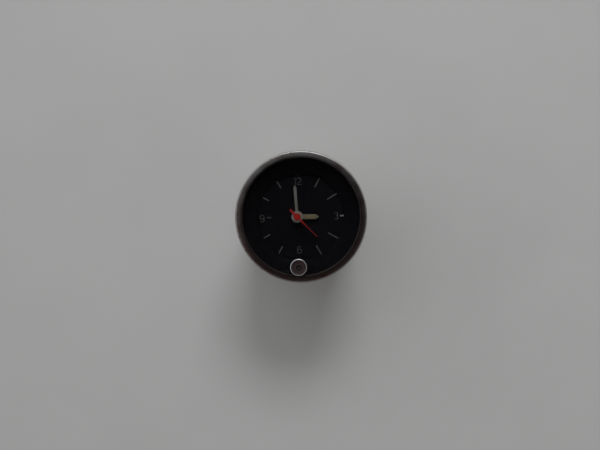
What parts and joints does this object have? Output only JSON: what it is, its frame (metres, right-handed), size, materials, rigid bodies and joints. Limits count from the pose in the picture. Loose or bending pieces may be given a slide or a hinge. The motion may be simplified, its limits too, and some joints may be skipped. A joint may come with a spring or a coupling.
{
  "type": "car dashboard clock",
  "caption": "Round panel clock in a flanged metal can, with a black dial, hour, minute and seconds hands, a push-and-turn setting knob and rear studs.",
  "frame": {"origin": "under the middle of the can, level with the ends of the rear studs", "axes": "+Z out of the dial, +Y towards twelve o'clock, +X towards three o'clock"},
  "size_m": [0.058, 0.058, 0.0647],
  "materials": {
    "zinc_steel": "satin zinc plate",
    "bezel_chrome": "polished chrome, lightly worn",
    "lens_clear": "clear, polished",
    "black_rubber": "matte",
    "shade_black": "matte black",
    "dial_black": "matte black paint",
    "brass_plate": "brushed",
    "bright_steel": "bright turned",
    "spring_steel": "blued",
    "copper_wire": "enamelled winding",
    "white_plastic": "moulded",
    "board_green": "laminate",
    "brown_phenolic": "laminate",
    "resistor_tan": "dipped",
    "capacitor_orange": "sleeved",
    "lead_red": "insulation",
    "lamp_glass": "clear, with a nickel cap",
    "lume_cream": "aged luminous paint",
    "lume_grey": "aged luminous paint",
    "hand_red": "matte red paint",
    "knob_chrome": "polished chrome",
    "magnet_dark": "ground"
  },
  "bodies": {
    "case": {"case_can": "zinc_steel", "bezel": "bezel_chrome", "lens": "lens_clear", "lens_gasket": "black_rubber", "shade_ring": "shade_black", "dial": "dial_black", "dial_feet": "brass_plate", "front_plate": "brass_plate", "back_plate": "brass_plate", "pillars": "brass_plate", "pillar_screws": "bright_steel", "movement_posts": "brass_plate", "case_screws": "bright_steel", "balance_bridge": "brass_plate", "bridge_screws": "bright_steel", "hairspring": "spring_steel", "drive_coil": "copper_wire", "coil_bobbin": "white_plastic", "board_spacers": "white_plastic", "circuit_board": "board_green", "board_transistor": "bright_steel", "board_resistor": "resistor_tan", "board_capacitor": "capacitor_orange", "mounting_studs": "bright_steel", "terminal_insulator": "brown_phenolic", "power_terminal": "brass_plate", "power_lead": "lead_red", "earth_terminal": "bright_steel", "lamp_holder": "zinc_steel", "lamp_contact": "brass_plate", "lamp_bulb": "lamp_glass", "shaft_bush": "bright_steel", "motion_studs": "bright_steel", "set_spring": "spring_steel"},
    "seconds": {"seconds_arbor": "bright_steel", "seconds_wheel": "brass_plate", "seconds_hand": "hand_red"},
    "minute": {"centre_wheel": "brass_plate", "centre_arbor": "bright_steel", "cannon_pinion": "bright_steel", "minute_hand": "lume_grey"},
    "hour": {"hour_wheel": "brass_plate", "hour_hand": "lume_cream"},
    "minute_gear": {"minute_wheel": "brass_plate"},
    "idler_gear": {"setting_idler": "brass_plate"},
    "third": {"third_arbor": "bright_steel", "third_wheel": "brass_plate"},
    "escape": {"escape_arbor": "bright_steel", "escape_wheel": "brass_plate"},
    "balance": {"balance_staff": "bright_steel", "balance_disc_upper": "bright_steel", "balance_disc_lower": "bright_steel", "balance_magnets": "magnet_dark"},
    "regulator": {"regulator_lever": "bright_steel"},
    "set_push": {"thrust_washer": "bright_steel"},
    "set_turn": {"set_knob": "knob_chrome", "set_shaft": "bright_steel", "set_pinion": "brass_plate", "shaft_clip": "spring_steel"}
  },
  "joints": [
    {"name": "seconds_turn", "type": "hinge", "parent": "case", "child": "seconds", "pos_m": [-0.0017, 0, 0.04], "axis": [0, 0, -1], "continuous": true},
    {"name": "minute_turn", "type": "hinge", "parent": "case", "child": "minute", "pos_m": [-0.0017, 0, 0.045], "axis": [0, 0, -1], "continuous": true},
    {"name": "hour_turn", "type": "hinge", "parent": "case", "child": "hour", "pos_m": [-0.0017, 0, 0.049], "axis": [0, 0, -1], "continuous": true},
    {"name": "minute_gear_turn", "type": "hinge", "parent": "case", "child": "minute_gear", "pos_m": [-0.0017, -0.0072, 0.0465], "axis": [0, 0, -1], "continuous": true},
    {"name": "idler_turn", "type": "hinge", "parent": "case", "child": "idler_gear", "pos_m": [-0.0017, -0.01634, 0.0465], "axis": [0, 0, -1], "continuous": true},
    {"name": "third_turn", "type": "hinge", "parent": "case", "child": "third", "pos_m": [-0.00967, 0.0046, 0.04], "axis": [0, 0, -1], "continuous": true},
    {"name": "escape_turn", "type": "hinge", "parent": "case", "child": "escape", "pos_m": [0.0027, 0.00762, 0.036], "axis": [0, 0, -1], "continuous": true},
    {"name": "balance_swing", "type": "hinge", "parent": "case", "child": "balance", "pos_m": [-0.0017, 0.005, 0.028], "axis": [0, 0, -1], "range_deg": [-135, 135], "stiffness_Nm_per_rad": 0.000019},
    {"name": "regulator_turn", "type": "hinge", "parent": "case", "child": "regulator", "pos_m": [-0.0017, 0.005, 0.0216], "axis": [0, 0, -1], "range_deg": [-18, 18]},
    {"name": "knob_push", "type": "slide", "parent": "case", "child": "set_push", "axis": [0, 0, -1], "range_m": [0, 0.0015], "stiffness_N_per_m": 300, "springref_m": -0.003, "deforming": ["set_spring"]},
    {"name": "knob_turn", "type": "hinge", "parent": "set_push", "child": "set_turn", "pos_m": [-0.0017, -0.02188, 0.06], "axis": [0, 0, -1], "continuous": true}
  ],
  "couplings": [
    {"joint": "minute_turn", "follows": "seconds_turn", "ratio": 0.016667},
    {"joint": "hour_turn", "follows": "seconds_turn", "ratio": 0.0013889},
    {"joint": "minute_gear_turn", "follows": "seconds_turn", "ratio": -0.0055556},
    {"joint": "idler_turn", "follows": "seconds_turn", "ratio": 0.008},
    {"joint": "third_turn", "follows": "seconds_turn", "ratio": -0.1},
    {"joint": "escape_turn", "follows": "seconds_turn", "ratio": -10}
  ]
}
